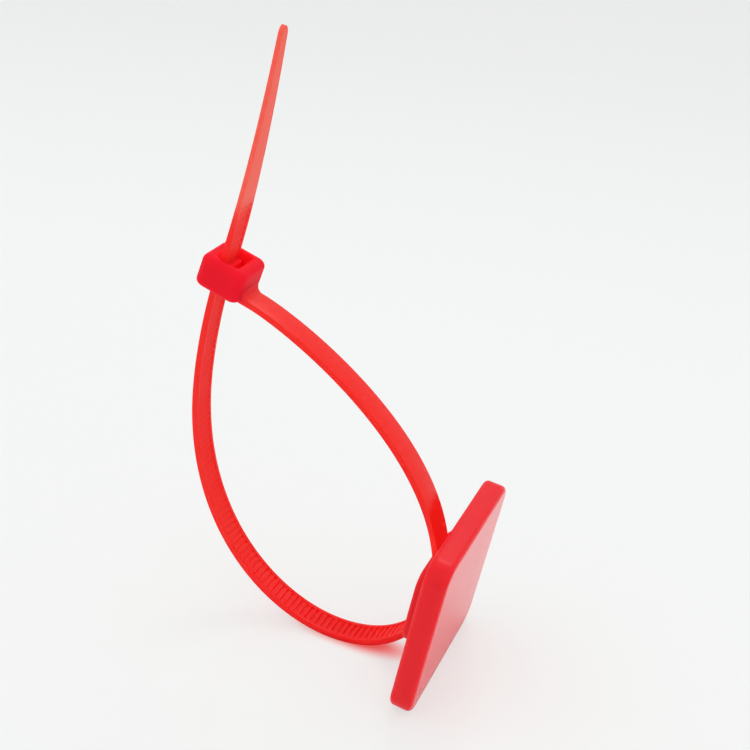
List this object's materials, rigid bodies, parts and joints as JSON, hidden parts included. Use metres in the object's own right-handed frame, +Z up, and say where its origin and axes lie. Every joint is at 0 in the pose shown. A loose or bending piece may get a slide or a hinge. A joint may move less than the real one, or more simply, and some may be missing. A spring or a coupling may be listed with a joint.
{
  "type": "rfid cable tie tag",
  "caption": "Red plastic cable tie closed into a teardrop loop, with a square identification tag plate moulded across the strap on a boss.",
  "frame": {"origin": "middle of the part on the standing surface, under the middle of its bounding box", "axes": "+Z up; +X from the loop's far side towards the tag plate; +Y across the strap, away from the camera; the loop lies in the XZ plane"},
  "size_m": [0.0522, 0.031, 0.1046],
  "materials": {
    "red_nylon": "smooth moulded nylon, slightly translucent where it is thin",
    "inlay_film": "plain film card",
    "antenna_copper": "bare etched copper",
    "chip_package": "plain dark chip"
  },
  "bodies": {
    "root": {"tie_body": "red_nylon", "inlay_card": "inlay_film", "antenna": "antenna_copper", "chip": "chip_package"}
  },
  "joints": []
}
